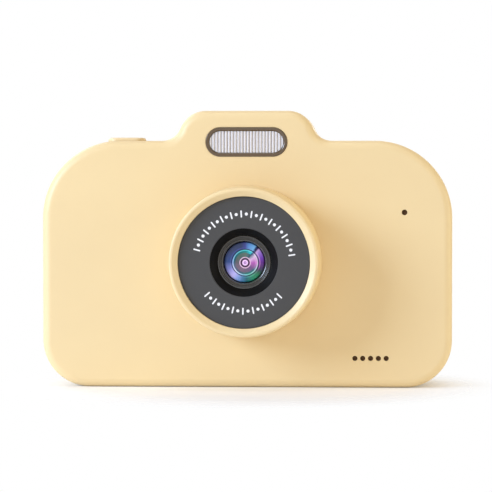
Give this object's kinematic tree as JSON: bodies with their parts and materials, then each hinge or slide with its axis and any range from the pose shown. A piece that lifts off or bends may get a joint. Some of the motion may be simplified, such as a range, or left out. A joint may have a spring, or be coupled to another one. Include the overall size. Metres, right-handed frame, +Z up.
{
  "type": "toy camera",
  "caption": "Pale yellow toy camera with a rounded body, flash hump, proud lens barrel, shoulder shutter button and a rear screen with keys.",
  "frame": {"origin": "middle of the underside, below the centre of the whole camera with its lens and keys", "axes": "+X across the camera to the right as seen from the lens side, -Y the way the lens points, +Z up"},
  "size_m": [0.1, 0.0408, 0.0674],
  "materials": {
    "shell_plastic": "fine-textured pale yellow moulded plastic, satin",
    "key_plastic": "pale yellow moulded plastic, satin",
    "face_plastic": "dark grey printed plate, satin",
    "mark_ink": "white printed ink",
    "symbol_ink": "brown printed ink",
    "black_plastic": "black moulded plastic",
    "holder_plastic": "dark grey threaded plastic, half gloss",
    "lens_glass": "polished, with a violet, blue and green anti-reflection coating",
    "smoke_plastic": "smoky translucent plastic",
    "clear_plastic": "clear plastic with moulded ribs",
    "mirror_coat": "vacuum-plated reflector",
    "led_resin": "yellow phosphor resin",
    "circuit_board": "green solder mask",
    "chip_resin": "black moulded resin",
    "card_resin": "black moulded card",
    "steel": "plated steel",
    "battery_foil": "laminated foil",
    "foam": "closed-cell foam",
    "screen_glass": "black backed clear window, gloss",
    "ribbon_film": "amber flexible circuit",
    "red_wire": "red insulation",
    "black_wire": "black insulation",
    "flap_rubber": "soft pale yellow rubber"
  },
  "bodies": {
    "case": {"front_shell": "shell_plastic", "rear_shell": "shell_plastic", "strap_pin": "steel", "case_screw_1": "steel", "case_screw_2": "steel", "case_screw_3": "steel", "case_screw_4": "steel", "lens_barrel": "shell_plastic", "lens_face_plate": "face_plastic", "lens_cone_bezel": "black_plastic", "lens_holder": "holder_plastic", "front_lens_element": "lens_glass", "rear_lens_element": "lens_glass", "lens_mount": "black_plastic", "image_sensor": "chip_resin", "sensor_board": "circuit_board", "sensor_cable": "ribbon_film", "flash_bezel": "smoke_plastic", "flash_window": "clear_plastic", "flash_reflector": "mirror_coat", "flash_led": "led_resin", "flash_board": "circuit_board", "microphone": "black_plastic", "speaker_gasket": "foam", "speaker": "black_plastic", "screen_cover": "screen_glass", "lcd_module": "steel", "lcd_cable": "ribbon_film", "main_board": "circuit_board", "processor_chip": "chip_resin", "memory_chip": "chip_resin", "battery": "battery_foil", "battery_pad": "foam", "battery_wire_red": "red_wire", "battery_wire_black": "black_wire", "usb_socket": "steel", "card_socket": "steel", "shutter_switch": "chip_resin", "shutter_board": "circuit_board", "ok_switch": "chip_resin", "right_switch": "chip_resin", "up_switch": "chip_resin", "left_switch": "chip_resin", "down_switch": "chip_resin", "menu_switch": "chip_resin", "playback_switch": "chip_resin", "power_switch": "chip_resin"},
    "ok_key": {"ok_button": "key_plastic"},
    "right_key": {"right_button": "key_plastic"},
    "up_key": {"up_button": "key_plastic"},
    "left_key": {"left_button": "key_plastic"},
    "down_key": {"down_button": "key_plastic"},
    "menu_key": {"menu_button": "key_plastic"},
    "playback_key": {"playback_button": "key_plastic"},
    "power_key": {"power_button": "key_plastic"},
    "shutter_key": {"shutter_button": "key_plastic"},
    "port_flap": {"port_cover": "flap_rubber"},
    "card": {"memory_card": "card_resin"}
  },
  "joints": [
    {"name": "ok_press", "type": "slide", "parent": "case", "child": "ok_key", "axis": [0, -1, 0], "range_m": [0, 0.0006], "stiffness_N_per_m": 300},
    {"name": "right_press", "type": "slide", "parent": "case", "child": "right_key", "axis": [0, -1, 0], "range_m": [0, 0.0006], "stiffness_N_per_m": 300},
    {"name": "up_press", "type": "slide", "parent": "case", "child": "up_key", "axis": [0, -1, 0], "range_m": [0, 0.0006], "stiffness_N_per_m": 300},
    {"name": "left_press", "type": "slide", "parent": "case", "child": "left_key", "axis": [0, -1, 0], "range_m": [0, 0.0006], "stiffness_N_per_m": 300},
    {"name": "down_press", "type": "slide", "parent": "case", "child": "down_key", "axis": [0, -1, 0], "range_m": [0, 0.0006], "stiffness_N_per_m": 300},
    {"name": "menu_press", "type": "slide", "parent": "case", "child": "menu_key", "axis": [0, -1, 0], "range_m": [0, 0.0006], "stiffness_N_per_m": 300},
    {"name": "playback_press", "type": "slide", "parent": "case", "child": "playback_key", "axis": [0, -1, 0], "range_m": [0, 0.0006], "stiffness_N_per_m": 300},
    {"name": "power_press", "type": "slide", "parent": "case", "child": "power_key", "axis": [0, -1, 0], "range_m": [0, 0.0006], "stiffness_N_per_m": 300},
    {"name": "shutter_press", "type": "slide", "parent": "case", "child": "shutter_key", "axis": [0, 0, -1], "range_m": [0, 0.0007], "stiffness_N_per_m": 400},
    {"name": "port_flap_hinge", "type": "hinge", "parent": "case", "child": "port_flap", "pos_m": [0.0499, 0.0144, 0.034], "axis": [0, 0, 1], "range_deg": [0, 110]},
    {"name": "card_slide", "type": "slide", "parent": "case", "child": "card", "axis": [1, 0, 0], "range_m": [-0.0007, 0.0145]}
  ]
}
